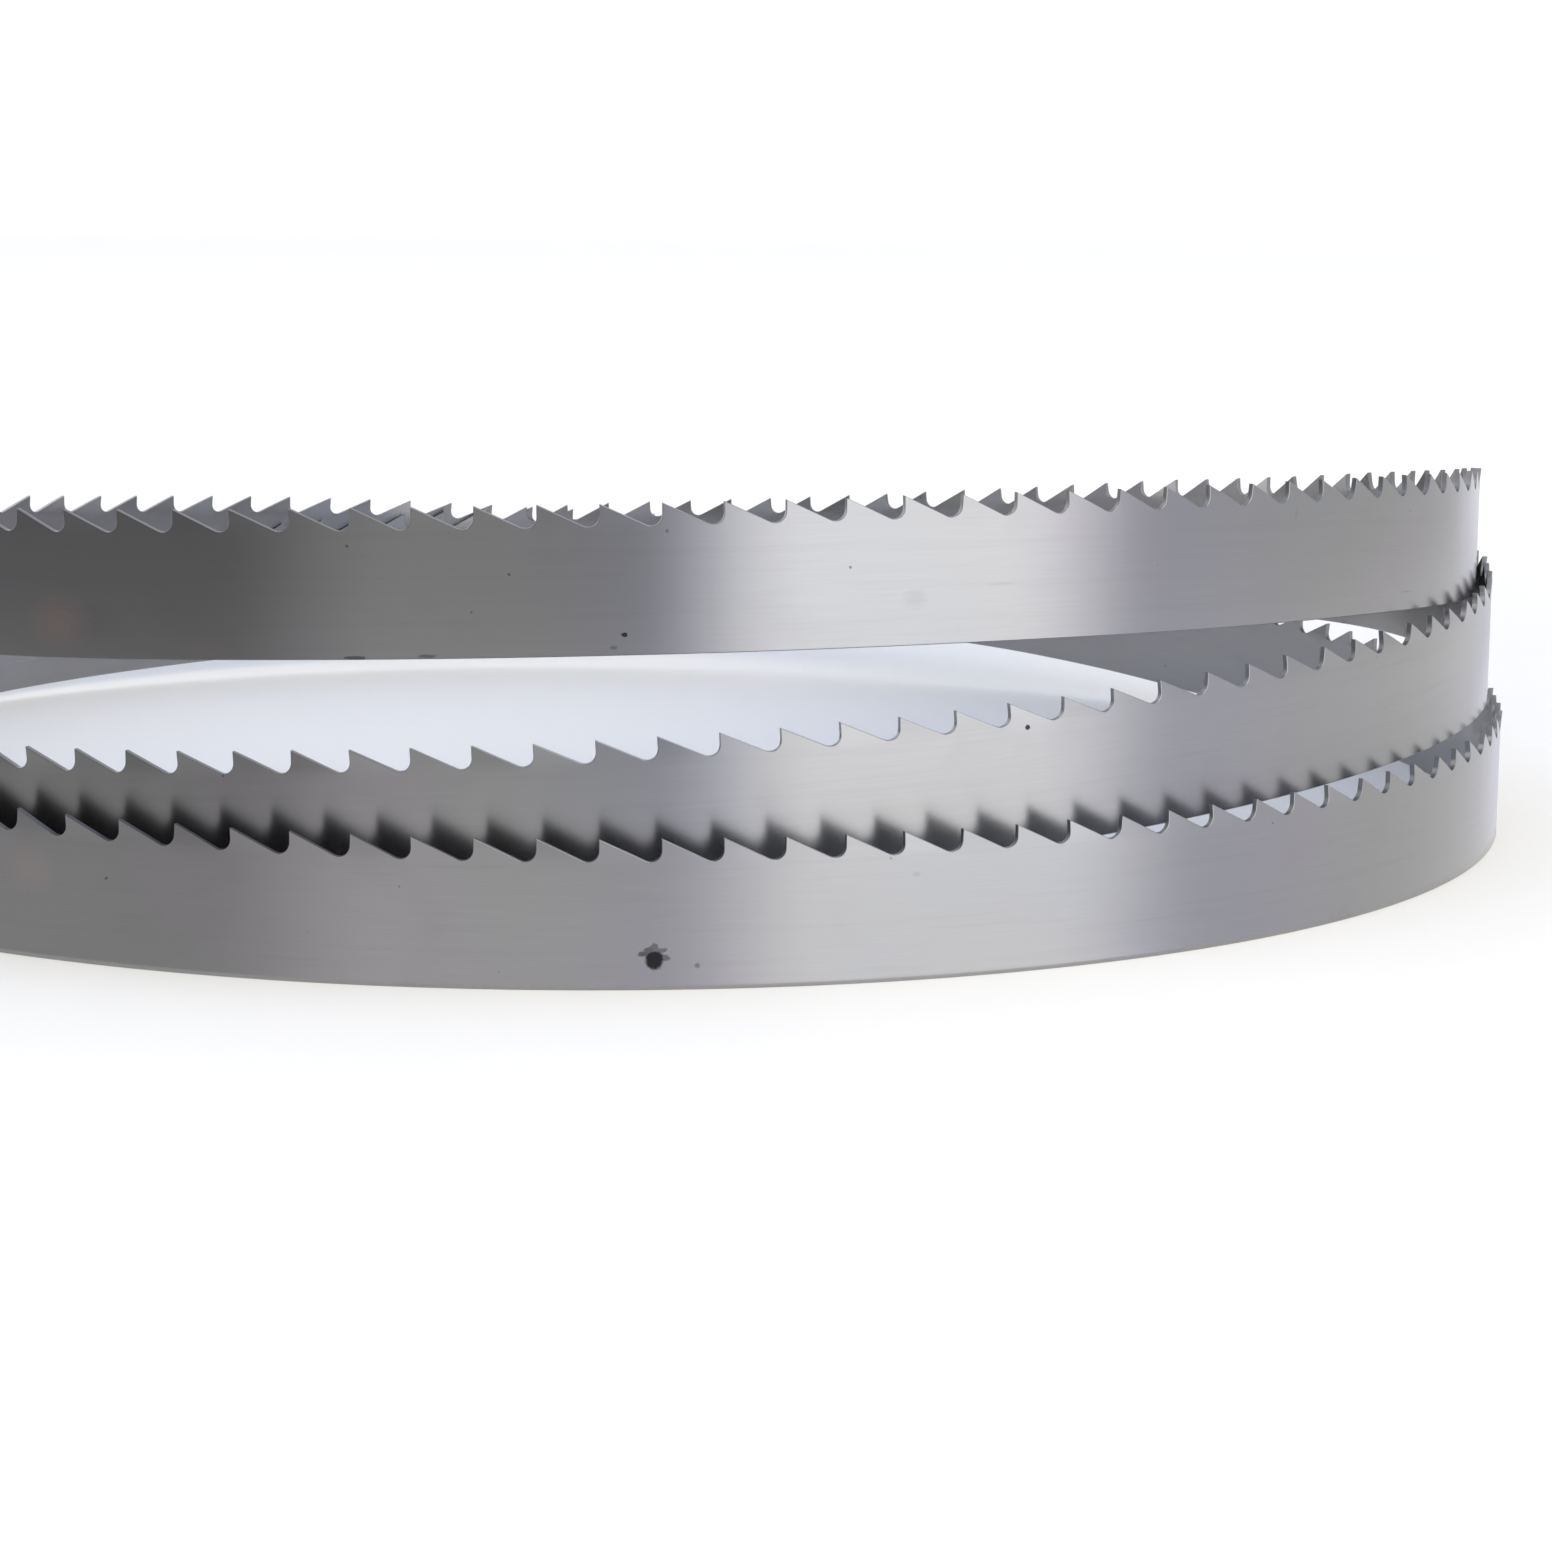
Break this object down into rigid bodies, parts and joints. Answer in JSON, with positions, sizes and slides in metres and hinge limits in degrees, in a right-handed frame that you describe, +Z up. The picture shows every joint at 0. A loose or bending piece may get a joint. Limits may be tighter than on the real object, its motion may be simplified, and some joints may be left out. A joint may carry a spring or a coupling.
{
  "type": "band saw blade",
  "caption": "Endless toothed steel band for a band saw, folded into a coil that stands on its back edge with the teeth up.",
  "frame": {"origin": "on the floor, under the middle of the coil's bounding box", "axes": "+Z is up along the coil's axis, the way the teeth point; -Y is the front of the coil in the picture; +X is to the right in the picture"},
  "size_m": [0.2305, 0.2308, 0.0491],
  "materials": {
    "blade_steel": "semi-polished ground spring steel with fine lines along the band"
  },
  "bodies": {
    "root": {"blade": "blade_steel"}
  },
  "joints": []
}
